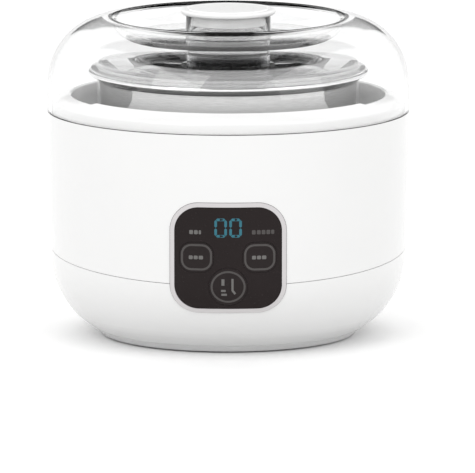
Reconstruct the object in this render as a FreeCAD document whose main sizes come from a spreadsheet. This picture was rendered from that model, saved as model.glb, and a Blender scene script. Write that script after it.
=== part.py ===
"""Countertop yogurt maker, millimetres, +Z up, front towards -Y.

The origin is at the centre of the circle that the rubber feet stand on.
A round drafted body in two shells, parted on a plane that falls towards the
front, carries a heated aluminium chamber. A lidded pot stands in the chamber
and a clear dome with a dished top and a plugged knob covers it all. The
control panel follows the body's curve and holds three push keys.
"""

import FreeCAD, Part
import Sketcher
import math
import os
import re

V = FreeCAD.Vector
doc = FreeCAD.newDocument("YogurtMaker")
sheet = doc.addObject("Spreadsheet::Sheet", "Dims")

# ---------------------------------------------------------------- dimensions
DIMS = [
    # body
    ("body_r", 92.5, "outer radius at the dome seam"),
    ("top_z", 115.5, "top edge of the upper shell"),
    ("wall_t", 2.4, "upper shell wall"),
    ("side_arc_r", 1431.7, "radius of the barrelled side"),
    ("low_cx", 45.97, "centre of the upper corner arc, radius"),
    ("low_cz", 42.41, "centre of the upper corner arc, height"),
    ("low_ra", 44.6, "upper corner arc radius"),
    ("low_t0", 3.02, "angle where the corner arc starts"),
    ("low_ta", 42.75, "angle where it meets the second arc"),
    ("low_rb", 27.46, "second arc radius"),
    ("low_tb", 52.53, "angle where it meets the third arc"),
    ("low_rc", 147.16, "third arc radius"),
    ("foot_z", 4.3, "height of the lower shell's bottom edge"),
    ("foot_in_r", 55.6, "opening in the lower shell's bottom"),
    ("seam_z", 45.7, "seam height at the sides"),
    ("seam_tilt", 4.45, "slope of the seam plane, down to the front"),
    ("seam_gap", 0.3, "gap between the shells"),
    ("ledge_z", 112.5, "ledge the collar rests on"),
    ("ledge_in_r", 85.6, "inner radius of that ledge"),
    ("lip_t", 1.6, "alignment lip thickness"),
    ("lip_h", 4.0, "alignment lip height over the seam"),
    ("lip_gap", 0.15, "lip clearance"),
    ("mid_z", 62.0, "top of the lower shell blank"),
    # collar
    ("col_r", 89.6, "collar outer radius"),
    ("col_in_r", 79.2, "opening radius at the top edge"),
    ("col_t", 1.8, "collar wall"),
    ("col_sh_z", 120.82, "shoulder height"),
    ("col_top_z", 124.9, "height of the top edge"),
    ("col_bot_z", 101.2, "foot of the collar's skirt"),
    ("led_r", 69.5, "radius of the ledge round the pot"),
    ("led_z", 119.6, "ledge height at its inner edge"),
    ("rec_r", 80.0, "finger recess radius"),
    ("rec_half", 33.0, "finger recess half angle"),
    ("boss_pc_r", 81.5, "collar boss radius from centre"),
    # chamber
    ("cham_r", 68.5, "chamber bore radius"),
    ("cham_t", 1.2, "chamber sheet thickness"),
    ("cham_z", 52.0, "chamber floor"),
    ("cham_corner", 10.0, "chamber corner radius"),
    ("cham_fl_r", 85.0, "chamber flange radius"),
    # pot
    ("pot_r", 65.6, "pot outer radius under the rim"),
    ("pot_bot_r", 61.45, "pot outer radius at the floor"),
    ("pot_t", 1.2, "pot wall"),
    ("pot_floor_t", 1.6, "pot floor"),
    ("rim_r", 71.5, "pot rim radius"),
    ("rim_z", 136.3, "pot rim top"),
    ("rim_t", 2.1, "pot rim edge height"),
    # inner lid
    ("lid_r", 70.2, "lid flange radius"),
    ("lid_t", 1.8, "lid wall"),
    ("lid_fl_t", 1.5, "lid flange thickness"),
    ("lid_sh_r", 66.8, "raised part radius"),
    ("lid_sh_z", 140.7, "shoulder height"),
    ("lid_plat_r", 47.4, "plateau edge radius"),
    ("lid_plat_z", 142.3, "plateau edge height"),
    ("lid_floor_z", 139.2, "recess floor height"),
    ("lid_floor_r", 44.6, "recess floor radius"),
    ("lid_boss_r", 17.3, "knob boss radius"),
    ("lid_skirt_r", 63.4, "lid skirt radius"),
    ("lid_skirt_z", 131.6, "lid skirt bottom"),
    ("lknob_r", 21.3, "lid knob radius"),
    ("lknob_z", 147.0, "lid knob top"),
    ("lknob_t", 1.6, "lid knob wall"),
    # dome
    ("dome_w", 2.2, "dome wall"),
    ("dome_z1", 126.77, "height where the dome starts to close"),
    ("dome_ra", 51.44, "first arc radius"),
    ("dome_ta", 10.59, "end angle of the first arc"),
    ("dome_rb", 33.18, "shoulder arc radius"),
    ("dome_tb", 88.0, "end angle of the shoulder arc"),
    ("crest_r", 3.5, "crest rounding"),
    ("crest_t", 150.0, "end angle of the crest rounding"),
    ("dish_drop", 1.2, "straight part of the dish wall"),
    ("dish_r", 13.2, "dish corner radius"),
    ("dboss_r", 21.6, "knob boss radius"),
    ("dboss_w", 1.7, "knob boss wall"),
    ("dboss_z", 164.6, "knob boss top"),
    ("edge_c", 0.4, "edge break at the dome seam"),
    # dome knob
    ("knob_r", 24.1, "knob flange radius"),
    ("plug_r", 19.75, "plug radius"),
    ("plug_z", 159.2, "plug bottom"),
    ("plug_t", 1.6, "plug wall"),
    ("disc_r", 20.4, "inlaid disc radius"),
    ("disc_z", 165.7, "disc seat height"),
    # base
    ("base_t", 2.4, "base cover thickness"),
    ("base_top_r", 67.2, "base cover radius at its top"),
    ("base_bot_r", 64.6, "base cover radius at its bottom"),
    ("base_gap", 0.8, "base cover's height over the table"),
    ("pad_r", 5.5, "foot radius"),
    ("pad_pc", 39.6, "foot offset in x and y"),
    ("scr_pc_r", 59.0, "base screw radius from centre"),
    # panel
    ("pan_z", 52.75, "panel centre height"),
    ("bez_wx", 58.6, "bezel width"),
    ("bez_wz", 56.7, "bezel height"),
    ("bez_r", 14.5, "bezel corner radius"),
    ("bez_t", 2.2, "bezel ring width"),
    ("bez_out", 0.6, "bezel height over the body"),
    ("bez_in", 4.2, "bezel depth under the body surface"),
    ("lens_out", 0.35, "lens height over the body"),
    ("lens_in", 1.7, "lens depth under the body surface"),
    ("fit_gap", 0.15, "panel clearance"),
    ("key_x", 15.9, "side key offset"),
    ("key_z", 53.3, "side key height"),
    ("key_wx", 16.9, "side key width"),
    ("key_wz", 15.2, "side key height"),
    ("key_cr", 6.0, "side key corner radius"),
    ("pkey_z", 38.2, "power key height"),
    ("pkey_r", 9.6, "power key radius"),
    ("dig_z", 68.3, "digit display height"),
    ("pcb_y", 79.0, "display board's front face, distance behind the axis"),
    ("pcb_t", 1.6, "board thickness"),
    # power board
    ("pb_z", 9.0, "power board underside"),
    ("pb_x", 62.0, "power board width"),
    ("pb_y", 44.0, "power board depth"),
    ("pb_yc", 20.0, "power board centre"),
    # inlet
    ("inl_z", 33.0, "inlet height"),
    ("inl_out", 90.9, "inlet flange face"),
    ("inl_fl_t", 2.4, "inlet flange thickness"),
    ("inl_pin_r", 1.19, "inlet pin radius"),
    ("inl_pin_sp", 8.6, "inlet pin spacing"),
]
for row, (alias, value, note) in enumerate(DIMS, start=1):
    sheet.set("A%d" % row, note)
    sheet.set("B%d" % row, repr(float(value)))
    sheet.setAlias("B%d" % row, alias)
doc.recompute()

NUM = {alias: float(value) for alias, value, note in DIMS}
NUM.update(
    cos=lambda a: math.cos(math.radians(a)),
    sin=lambda a: math.sin(math.radians(a)),
    tan=lambda a: math.tan(math.radians(a)),
    sqrt=math.sqrt,
)


def calc(text):
    """The value of a formula in sheet names."""
    return _Sum(
        re.findall(r"\*\*|[A-Za-z_]\w*|\d+\.?\d*|[-+*/()]", str(text))
    ).run()


class _Sum:
    """A small reader for sums, products, powers and the functions above."""

    def __init__(self, tokens):
        self.t, self.i = tokens, 0

    def peek(self):
        return self.t[self.i] if self.i < len(self.t) else None

    def take(self):
        self.i += 1
        return self.t[self.i - 1]

    def run(self):
        value = self.add()
        assert self.i == len(self.t), self.t
        return value

    def add(self):
        value = self.mul()
        while self.peek() in ("+", "-"):
            value = value + self.mul() if self.take() == "+" else value - self.mul()
        return value

    def mul(self):
        value = self.sign()
        while self.peek() in ("*", "/"):
            value = value * self.sign() if self.take() == "*" else value / self.sign()
        return value

    def sign(self):
        if self.peek() == "-":
            self.take()
            return -self.sign()
        return self.power()

    def power(self):
        value = self.atom()
        if self.peek() == "**":
            self.take()
            value = value ** self.sign()
        return value

    def atom(self):
        token = self.take()
        if token == "(":
            value = self.add()
            assert self.take() == ")"
            return value
        if token[0].isdigit():
            return float(token)
        if callable(NUM[token]):
            assert self.take() == "("
            value = self.add()
            assert self.take() == ")"
            return NUM[token](value)
        return NUM[token]


def link(text):
    """The same formula as a spreadsheet expression."""
    text = re.sub(
        r"[A-Za-z_]\w*",
        lambda m: "Dims." + m.group(0)
        if isinstance(NUM.get(m.group(0)), float)
        else m.group(0),
        str(text),
    )
    return text.replace("**", "^")


# ------------------------------------------------------------------- helpers
CCW, CW = 1, -1
parts = {}


def body(name):
    return doc.addObject("PartDesign::Body", name)


def origin_plane(b, role):
    return [f for f in b.Origin.OriginFeatures if f.Role == role][0]


def new_sketch(b, role, offset=None):
    sk = b.newObject("Sketcher::SketchObject", b.Name + "Sketch")
    sk.AttachmentSupport = [(origin_plane(b, role), "")]
    sk.MapMode = "FlatFace"
    if offset is not None:
        sk.setExpression("AttachmentOffset.Base.z", link(offset))
    return sk


def outline(sk, pts):
    """Closed loop of lines and arcs; a corner is (x, y) or (x, y, radius, turn)."""
    n = len(pts)
    at = [(calc(p[0]), calc(p[1])) for p in pts]
    geo, flip = [], []
    for i, p in enumerate(pts):
        a, b = at[i], at[(i + 1) % n]
        if len(p) == 2:
            geo.append(Part.LineSegment(V(a[0], a[1], 0), V(b[0], b[1], 0)))
            flip.append(False)
            continue
        rad, turn = calc(p[2]), p[3]
        dx, dy = b[0] - a[0], b[1] - a[1]
        run = math.hypot(dx, dy)
        h = math.sqrt(max(rad * rad - run * run / 4, 0))
        cx = (a[0] + b[0]) / 2 - turn * dy / run * h
        cy = (a[1] + b[1]) / 2 + turn * dx / run * h
        s, e = (a, b) if turn == CCW else (b, a)
        a0 = math.atan2(s[1] - cy, s[0] - cx)
        a1 = math.atan2(e[1] - cy, e[0] - cx)
        if a1 < a0:
            a1 += 2 * math.pi
        geo.append(Part.ArcOfCircle(Part.Circle(V(cx, cy, 0), V(0, 0, 1), rad), a0, a1))
        flip.append(turn == CW)
    ids = sk.addGeometry(geo, False)

    def first(i):
        return 2 if flip[i] else 1

    def last(i):
        return 1 if flip[i] else 2

    for i in range(n):
        j = (i + 1) % n
        sk.addConstraint(
            Sketcher.Constraint("Coincident", ids[i], last(i), ids[j], first(j))
        )
    for i, p in enumerate(pts):
        for k, kind in ((0, "DistanceX"), (1, "DistanceY")):
            if str(p[k]) == "0":
                sk.addConstraint(
                    Sketcher.Constraint("PointOnObject", ids[i], first(i), -2 + k)
                )
                continue
            c = sk.addConstraint(
                Sketcher.Constraint(kind, -1, 1, ids[i], first(i), at[i][k])
            )
            sk.setExpression("Constraints[%d]" % c, link(p[k]))
        if len(p) == 4:
            c = sk.addConstraint(Sketcher.Constraint("Radius", ids[i], calc(p[2])))
            sk.setExpression("Constraints[%d]" % c, link(p[2]))


def ring(sk, x, y, rad):
    """A full circle."""
    i = sk.addGeometry(
        Part.Circle(V(calc(x), calc(y), 0), V(0, 0, 1), calc(rad)), False
    )
    for kind, text, k in (("DistanceX", x, -2), ("DistanceY", y, -1)):
        if str(text) == "0":
            sk.addConstraint(Sketcher.Constraint("PointOnObject", i, 3, k))
        else:
            c = sk.addConstraint(Sketcher.Constraint(kind, -1, 1, i, 3, calc(text)))
            sk.setExpression("Constraints[%d]" % c, link(text))
    c = sk.addConstraint(Sketcher.Constraint("Radius", i, calc(rad)))
    sk.setExpression("Constraints[%d]" % c, link(rad))


def round_rect(sk, x, y, wx, wy, rad):
    """A rounded rectangle centred on (x, y)."""
    l, r = "%s-(%s)/2" % (x, wx), "%s+(%s)/2" % (x, wx)
    d, u = "%s-(%s)/2" % (y, wy), "%s+(%s)/2" % (y, wy)
    outline(
        sk,
        [
            ("%s+(%s)" % (l, rad), d),
            ("%s-(%s)" % (r, rad), d, rad, CCW),
            (r, "%s+(%s)" % (d, rad)),
            (r, "%s-(%s)" % (u, rad), rad, CCW),
            ("%s-(%s)" % (r, rad), u),
            ("%s+(%s)" % (l, rad), u, rad, CCW),
            (l, "%s-(%s)" % (u, rad)),
            (l, "%s+(%s)" % (d, rad), rad, CCW),
        ],
    )


def turned(name, pts, fillets=()):
    """A turned solid: its half section spun about Z, then edges rounded."""
    b = body(name)
    sk = new_sketch(b, "XZ_Plane")
    outline(sk, pts)
    rev = b.newObject("PartDesign::Revolution", name + "Turn")
    rev.Profile = sk
    rev.ReferenceAxis = (sk, ["V_Axis"])
    rev.Angle = 360
    doc.recompute()
    for i, (rad, where) in enumerate(fillets):
        names = []
        for r, z in where:
            r, z = calc(r), calc(z)
            for k, edge in enumerate(b.Tip.Shape.Edges, start=1):
                if edge.Degenerated:
                    continue
                c = edge.Curve
                if (
                    isinstance(c, Part.Circle)
                    and abs(c.Radius - r) < 0.02
                    and abs(c.Center.z - z) < 0.02
                    and abs(c.Center.x) + abs(c.Center.y) < 0.02
                ):
                    names.append("Edge%d" % k)
        assert len(names) == len(where), (name, rad, names)
        base = b.Tip
        fil = b.newObject("PartDesign::Fillet", "%sRound%d" % (name, i))
        fil.Base = (base, names)
        fil.setExpression("Radius", link(rad))
        doc.recompute()
        b.Tip = fil
    return b


def padded(name, role, draw, length, offset=None):
    """A pad of whatever draw(sketch) puts on one of the body's own planes."""
    b = body(name)
    sk = new_sketch(b, role, offset)
    draw(sk)
    pad = b.newObject("PartDesign::Pad", name + "Pad")
    pad.Profile = sk
    pad.setExpression("Length", link(length))
    doc.recompute()
    return b


def cut_holes(b, role, draw, length, offset=None, reverse=True):
    """A pocket into body b; the volume has to fall."""
    before = b.Tip.Shape.Volume
    sk = new_sketch(b, role, offset)
    draw(sk)
    poc = b.newObject("PartDesign::Pocket", sk.Name + "Pocket")
    poc.Profile = sk
    poc.Reversed = reverse
    poc.setExpression("Length", link(length))
    doc.recompute()
    assert poc.Shape.Volume < before - 0.01, (b.Name, before, poc.Shape.Volume)
    return poc


def add_pad(b, role, draw, length, offset=None):
    sk = new_sketch(b, role, offset)
    draw(sk)
    pad = b.newObject("PartDesign::Pad", sk.Name + "Pad")
    pad.Profile = sk
    pad.setExpression("Length", link(length))
    doc.recompute()
    return pad


def primitive(kind, name, sizes, at=(0, 0, 0), axis=None, angle=0):
    """A Part primitive whose sizes and place are formulas."""
    o = doc.addObject("Part::" + kind, name)
    for key, text in sizes.items():
        o.setExpression(key, link(text))
    if axis is not None:
        o.Placement = FreeCAD.Placement(V(0, 0, 0), FreeCAD.Rotation(V(*axis), 30))
        o.setExpression("Placement.Rotation.Angle", link(angle))
    for key, text in zip("xyz", at):
        o.setExpression("Placement.Base." + key, link(text))
    return o


def boolean(kind, name, *shapes):
    if kind in ("Cut",):
        o = doc.addObject("Part::Cut", name)
        o.Base, o.Tool = shapes
    else:
        o = doc.addObject("Part::" + kind, name)
        o.Shapes = list(shapes)
    return o


def cut(name, base, *tools):
    if len(tools) == 1:
        return boolean("Cut", name, base, tools[0])
    return boolean(
        "Cut", name, base, boolean("MultiFuse", name + "Tools", *tools)
    )


def keep(node, obj):
    obj.Label = node
    parts[node] = obj
    return obj


# ------------------------------------------------- the body's outer profile
def corner(d):
    """Points down the outer profile, moved out by d: side start, and the joints of the arcs."""
    bx = "low_cx+(low_ra-low_rb)*cos(low_ta)"
    bz = "low_cz-(low_ra-low_rb)*sin(low_ta)"
    cx = "%s+(low_rb-low_rc)*cos(low_tb)" % bx
    cz = "%s-(low_rb-low_rc)*sin(low_tb)" % bz
    return {
        "start": (
            "low_cx+(low_ra+(%s))*cos(low_t0)" % d,
            "low_cz-(low_ra+(%s))*sin(low_t0)" % d,
        ),
        "one": (
            "low_cx+(low_ra+(%s))*cos(low_ta)" % d,
            "low_cz-(low_ra+(%s))*sin(low_ta)" % d,
        ),
        "two": (
            "%s+(low_rb+(%s))*cos(low_tb)" % (bx, d),
            "%s-(low_rb+(%s))*sin(low_tb)" % (bz, d),
        ),
        "end": lambda z: (
            "%s+sqrt((low_rc+(%s))**2-(%s-(%s))**2)" % (cx, d, cz, z),
            z,
        ),
        "side": lambda z: (
            "body_r-side_arc_r+sqrt((side_arc_r+(%s))**2-(top_z-(%s))**2)" % (d, z),
            z,
        ),
    }


def skin(name, d_in, d_out, z_top):
    """A shell that follows the body's side and corner between two offsets."""
    o, i = corner(d_out), corner(d_in)
    return turned(
        name,
        [
            o["one"] + ("low_ra+(%s)" % d_out, CCW),
            o["start"] + ("side_arc_r+(%s)" % d_out, CCW),
            o["side"](z_top),
            i["side"](z_top) + ("side_arc_r+(%s)" % d_in, CW),
            i["start"] + ("low_ra+(%s)" % d_in, CW),
            i["one"],
        ],
    )


def half_space(name, lift, above):
    """A large box over or under the sloping seam plane, lifted by a formula."""
    base_y = "-150*cos(seam_tilt)"
    base_z = "seam_z+(%s)-150*sin(seam_tilt)" % lift
    if not above:
        base_y += "+100*sin(seam_tilt)"
        base_z += "-100*cos(seam_tilt)"
    return primitive(
        "Box",
        name,
        {"Length": "300", "Width": "300", "Height": "100"},
        ("-150", base_y, base_z),
        (1, 0, 0),
        "seam_tilt",
    )


below_upper = half_space("BelowUpper", "seam_gap/2", False)
above_lower = half_space("AboveLower", "-seam_gap/2", True)
above_lip = half_space("AboveLip", "lip_h", True)
below_lip = half_space("BelowLip", "-lip_h", False)

# ------------------------------------------------------------ panel opening
panel_cutter = padded(
    "PanelCutter",
    "XZ_Plane",
    lambda sk: round_rect(
        sk, "0.0001", "pan_z", "bez_wx+2*fit_gap", "bez_wz+2*fit_gap", "bez_r+fit_gap"
    ),
    "45",
    "60",
)

# ------------------------------------------------------------- upper shell
o, i = corner("0"), corner("-wall_t")
upper_blank = turned(
    "UpperBlank",
    [
        o["one"] + ("low_ra", CCW),
        o["start"] + ("side_arc_r", CCW),
        ("body_r", "top_z-edge_c"),
        ("body_r-edge_c", "top_z"),
        ("body_r-wall_t", "top_z"),
        ("body_r-wall_t", "ledge_z"),
        ("ledge_in_r", "ledge_z"),
        ("ledge_in_r", "ledge_z-2"),
        i["side"]("ledge_z-2") + ("side_arc_r-wall_t", CW),
        i["start"] + ("low_ra-wall_t", CW),
        i["one"],
    ],
)
upper = cut("UpperShell", upper_blank, below_upper, panel_cutter)
keep("upper_housing", upper)

# ------------------------------------------------------------- lower shell
CROSS = (
    ("scr_pc_r", "0"),
    ("-scr_pc_r", "0"),
    ("0", "scr_pc_r"),
    ("0", "-scr_pc_r"),
)
WL = "(wall_t+lip_gap)"
i = corner("-" + WL)
lower_blank = turned(
    "LowerBlank",
    [
        ("foot_in_r", "foot_z"),
        o["end"]("foot_z") + ("low_rc", CCW),
        o["two"] + ("low_rb", CCW),
        o["one"] + ("low_ra", CCW),
        o["start"] + ("side_arc_r", CCW),
        o["side"]("mid_z"),
        i["side"]("mid_z") + ("side_arc_r-" + WL, CW),
        i["start"] + ("low_ra-" + WL, CW),
        i["one"] + ("low_rb-" + WL, CW),
        i["two"] + ("low_rc-" + WL, CW),
        i["end"]("foot_z+base_t"),
        ("foot_in_r", "foot_z+base_t"),
    ],
)
lip_blank = skin("LipBlank", "-%s-lip_t" % WL, "-" + WL, "mid_z")
lip = cut("Lip", lip_blank, above_lip, below_lip)
lower_cut = cut("LowerCut", lower_blank, above_lower)
lower_boss = padded(
    "LowerBoss",
    "XY_Plane",
    lambda sk: [ring(sk, x, y, "3.2") for x, y in CROSS],
    "8",
    "foot_z+base_t",
)
lower_holes = padded(
    "LowerHoles",
    "XY_Plane",
    lambda sk: [ring(sk, x, y, "1.55") for x, y in CROSS],
    "10.5",
    "foot_z-1",
)
inlet_cutter = primitive(
    "Box",
    "InletCutter",
    {"Length": "22.3", "Width": "24", "Height": "13.3"},
    ("-11.15", "76", "inl_z-6.65"),
)
inlet_pocket = padded(
    "InletPocket",
    "XZ_Plane",
    lambda sk: round_rect(sk, "0.0001", "inl_z", "25.3", "16.3", "2.35"),
    "10",
    "-inl_out+inl_fl_t-10",
)
lower_whole = boolean("MultiFuse", "LowerWhole", lower_cut, lip, lower_boss)
lower = cut(
    "LowerShell", lower_whole, panel_cutter, lower_holes, inlet_cutter, inlet_pocket
)
keep("lower_housing", lower)

# ------------------------------------------------------------- top collar
collar_ring = turned(
    "CollarRing",
    [
        ("col_r", "ledge_z"),
        ("col_r", "col_sh_z"),
        ("col_in_r", "col_top_z"),
        ("col_in_r-1.3", "col_top_z-1.0"),
        ("led_r", "led_z"),
        ("led_r", "col_bot_z"),
        ("led_r+col_t", "col_bot_z"),
        ("led_r+col_t", "led_z-1.3"),
        ("col_in_r", "col_top_z-2.9"),
        ("col_r-col_t", "col_sh_z-1.7"),
        ("col_r-col_t", "ledge_z"),
    ],
    [
        ("1.8", [("col_r", "col_sh_z")]),
        ("0.7", [("col_in_r", "col_top_z")]),
        ("0.6", [("led_r", "led_z")]),
    ],
)
wall_blocks = []
recess_tools = []
for side, turn in (("L", 180), ("R", 0)):
    sector = primitive(
        "Cylinder",
        "RecSector" + side,
        {"Radius": "col_r", "Height": "40", "Angle": "2*rec_half+3"},
        ("0", "0", "col_bot_z-5"),
        (0, 0, 1),
        "%d-rec_half-1.5" % turn,
    )
    wall_ring = turned(
        "RecRing" + side,
        [
            ("led_r+0.4", "col_bot_z"),
            ("rec_r+col_t", "col_bot_z"),
            ("rec_r+col_t", "col_top_z-3.0"),
            ("col_in_r", "col_top_z-2.0"),
            ("led_r+0.4", "led_z-0.5"),
        ],
    )
    wall_blocks.append(boolean("MultiCommon", "RecBlock" + side, sector, wall_ring))
    recess_tools.append(
        primitive(
            "Cylinder",
            "Recess" + side,
            {"Radius": "rec_r", "Height": "40", "Angle": "2*rec_half"},
            ("0", "0", "col_bot_z-5"),
            (0, 0, 1),
            "%d-rec_half" % turn,
        )
    )
DIAG = "boss_pc_r*cos(45)"
FOUR = (
    (DIAG, DIAG),
    ("-" + DIAG, DIAG),
    ("-" + DIAG, "-" + DIAG),
    (DIAG, "-" + DIAG),
)
collar_boss = padded(
    "CollarBoss",
    "XY_Plane",
    lambda sk: [ring(sk, x, y, "3.2") for x, y in FOUR],
    "19",
    "col_bot_z",
)
collar_pilot = padded(
    "CollarPilot",
    "XY_Plane",
    lambda sk: [ring(sk, x, y, "1.3") for x, y in FOUR],
    "10",
    "col_bot_z-1",
)
collar_whole = boolean("MultiFuse", "CollarWhole", collar_ring, collar_boss, *wall_blocks)
collar = cut("Collar", collar_whole, collar_pilot, *recess_tools)
keep("top_collar", collar)

# --------------------------------------------------------- heating chamber
chamber = turned(
    "Chamber",
    [
        ("0", "cham_z-cham_t"),
        ("cham_r-cham_corner", "cham_z-cham_t", "cham_corner+cham_t", CCW),
        ("cham_r+cham_t", "cham_z+cham_corner"),
        ("cham_r+cham_t", "col_bot_z-cham_t"),
        ("cham_fl_r", "col_bot_z-cham_t"),
        ("cham_fl_r", "col_bot_z"),
        ("cham_r", "col_bot_z"),
        ("cham_r", "cham_z+cham_corner", "cham_corner", CW),
        ("cham_r-cham_corner", "cham_z"),
        ("0", "cham_z"),
    ],
)
cut_holes(
    chamber,
    "XY_Plane",
    lambda sk: [ring(sk, x, y, "1.7") for x, y in FOUR],
    "10",
    "col_bot_z-5",
)
keep("heating_chamber", chamber)

collar_screw = turned(
    "CollarScrew",
    [
        ("0", "col_bot_z-cham_t-2"),
        ("2.8", "col_bot_z-cham_t-2"),
        ("2.8", "col_bot_z-cham_t"),
        ("1.25", "col_bot_z-cham_t"),
        ("1.25", "col_bot_z+8"),
        ("0", "col_bot_z+8"),
    ],
)


def copies(name, source, places):
    """Part::Features of one turned piece at several places, as one node."""
    pieces = []
    for x, y in places:
        s = source.Shape.copy()
        s.translate(V(calc(x), calc(y), 0))
        pieces.append(s)
    o = doc.addObject("Part::Feature", name)
    o.Shape = Part.makeCompound(pieces)
    return o


keep("collar_screws", copies("CollarScrews", collar_screw, FOUR))

# ------------------------------------------------------------------ heater
heater_plate = turned(
    "HeaterPlate",
    [
        ("0", "cham_z-cham_t-2.4"),
        ("49", "cham_z-cham_t-2.4"),
        ("49", "cham_z-cham_t"),
        ("0", "cham_z-cham_t"),
    ],
)
cut_holes(
    heater_plate, "XY_Plane", lambda sk: ring(sk, "0", "0", "4.2"), "10", "cham_z-6"
)
keep("heater_plate", heater_plate)
element = turned(
    "HeatingElement",
    [
        ("20", "cham_z-cham_t-4.6"),
        ("44", "cham_z-cham_t-4.6"),
        ("44", "cham_z-cham_t-2.4"),
        ("20", "cham_z-cham_t-2.4"),
    ],
    [("0.6", [("20", "cham_z-cham_t-4.6"), ("44", "cham_z-cham_t-4.6")])],
)
keep("heating_element", element)
clamp = turned(
    "HeaterClamp",
    [
        ("16", "cham_z-cham_t-5.8"),
        ("46", "cham_z-cham_t-5.8"),
        ("46", "cham_z-cham_t-4.6"),
        ("16", "cham_z-cham_t-4.6"),
    ],
)
THREE = [("32*cos(%d)" % a, "32*sin(%d)" % a) for a in (90, 210, 330)]
cut_holes(
    clamp,
    "XY_Plane",
    lambda sk: [ring(sk, x, y, "2.1") for x, y in THREE],
    "10",
    "cham_z-cham_t-9",
)
keep("heater_clamp", clamp)
cut_holes(
    element,
    "XY_Plane",
    lambda sk: [ring(sk, x, y, "2.1") for x, y in THREE],
    "12",
    "cham_z-cham_t-9",
)
stud = turned(
    "HeaterStud",
    [
        ("0", "cham_z-cham_t-9.4"),
        ("1.9", "cham_z-cham_t-9.4"),
        ("1.9", "cham_z-cham_t-2.4"),
        ("0", "cham_z-cham_t-2.4"),
    ],
)
nut_blank = padded(
    "HeaterNut",
    "XY_Plane",
    lambda sk: outline(
        sk,
        [
            ("4*cos(%d)" % a, "4*sin(%d)" % a)
            for a in (15, 75, 135, 195, 255, 315)
        ],
    ),
    "2.6",
    "cham_z-cham_t-8.4",
)
cut_holes(
    nut_blank, "XY_Plane", lambda sk: ring(sk, "0.0001", "0.0001", "1.9"), "20", "cham_z-20"
)
keep("heater_studs", copies("HeaterStuds", stud, THREE))
keep("heater_nuts", copies("HeaterNuts", nut_blank, THREE))
thermistor = turned(
    "Thermistor",
    [
        ("0", "cham_z-cham_t-9"),
        ("3.2", "cham_z-cham_t-9"),
        ("3.2", "cham_z-cham_t"),
        ("0", "cham_z-cham_t"),
    ],
    [("0.8", [("3.2", "cham_z-cham_t-9")])],
)
keep("thermistor", thermistor)
fuse = primitive(
    "Cylinder",
    "ThermalFuse",
    {"Radius": "2", "Height": "14"},
    ("-7", "-10.5", "cham_z-cham_t-2.4-2"),
    (0, 1, 0),
    "90",
)
keep("thermal_fuse", fuse)

# -------------------------------------------------------------- base cover
base = turned(
    "BaseCover",
    [
        ("0", "foot_z-base_t"),
        ("base_bot_r-2.2", "foot_z-base_t"),
        ("base_bot_r-2.2", "base_gap"),
        ("base_bot_r", "base_gap"),
        ("base_top_r", "foot_z-0.6"),
        ("base_top_r", "foot_z"),
        ("0", "foot_z"),
    ],
    [("0.6", [("base_bot_r", "base_gap")])],
)
POSTS = [
    ("%s(pb_x/2-4)" % sx, "pb_yc%s(pb_y/2-4)" % sy) for sx in ("", "-") for sy in ("+", "-")
]
add_pad(
    base,
    "XY_Plane",
    lambda sk: [ring(sk, x, y, "2.6") for x, y in POSTS],
    "pb_z-foot_z+0.5",
    "foot_z-0.5",
)
cut_holes(
    base,
    "XY_Plane",
    lambda sk: [ring(sk, x, y, "1.15") for x, y in POSTS],
    "10",
    "foot_z",
)
cut_holes(
    base,
    "XY_Plane",
    lambda sk: [ring(sk, x, y, "1.7") for x, y in CROSS],
    "20",
    "-5",
)
# counterbores so that the screw heads sit inside the rim
cut_holes(
    base,
    "XY_Plane",
    lambda sk: [ring(sk, x, y, "3.1") for x, y in CROSS],
    "5+2.3",
    "-5",
)
# vent slots in the floor
slot_pocket = cut_holes(
    base,
    "XY_Plane",
    lambda sk: round_rect(sk, "0.0001", "-38", "2.4", "20", "1.1"),
    "20",
    "-5",
)
for side, back in (("A", False), ("B", True)):
    before = base.Tip.Shape.Volume
    pattern = base.newObject("PartDesign::PolarPattern", "VentPattern" + side)
    pattern.Originals = [slot_pocket]
    pattern.Axis = (origin_plane(base, "Z_Axis"), [""])
    pattern.Reversed = back
    pattern.Angle = 60
    pattern.Occurrences = 5
    base.Tip = pattern
    doc.recompute()
    assert pattern.Shape.Volume < before - 100, "vents"
keep("base_cover", base)

pad_one = turned(
    "RubberFoot",
    [
        ("0", "0"),
        ("pad_r", "0"),
        ("pad_r+0.3", "foot_z-base_t"),
        ("0", "foot_z-base_t"),
    ],
    [("0.5", [("pad_r", "0")])],
)
keep(
    "rubber_feet",
    copies(
        "RubberFeet",
        pad_one,
        (
            ("pad_pc", "pad_pc"),
            ("-pad_pc", "pad_pc"),
            ("-pad_pc", "-pad_pc"),
            ("pad_pc", "-pad_pc"),
        ),
    ),
)
base_screw = turned(
    "BaseScrew",
    [
        ("0", "base_gap+0.1"),
        ("2.8", "base_gap+0.1"),
        ("2.8", "2.3"),
        ("1.5", "2.3"),
        ("1.5", "12"),
        ("0", "12"),
    ],
)
keep(
    "base_screws",
    copies(
        "BaseScrews",
        base_screw,
        CROSS,
    ),
)

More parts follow.
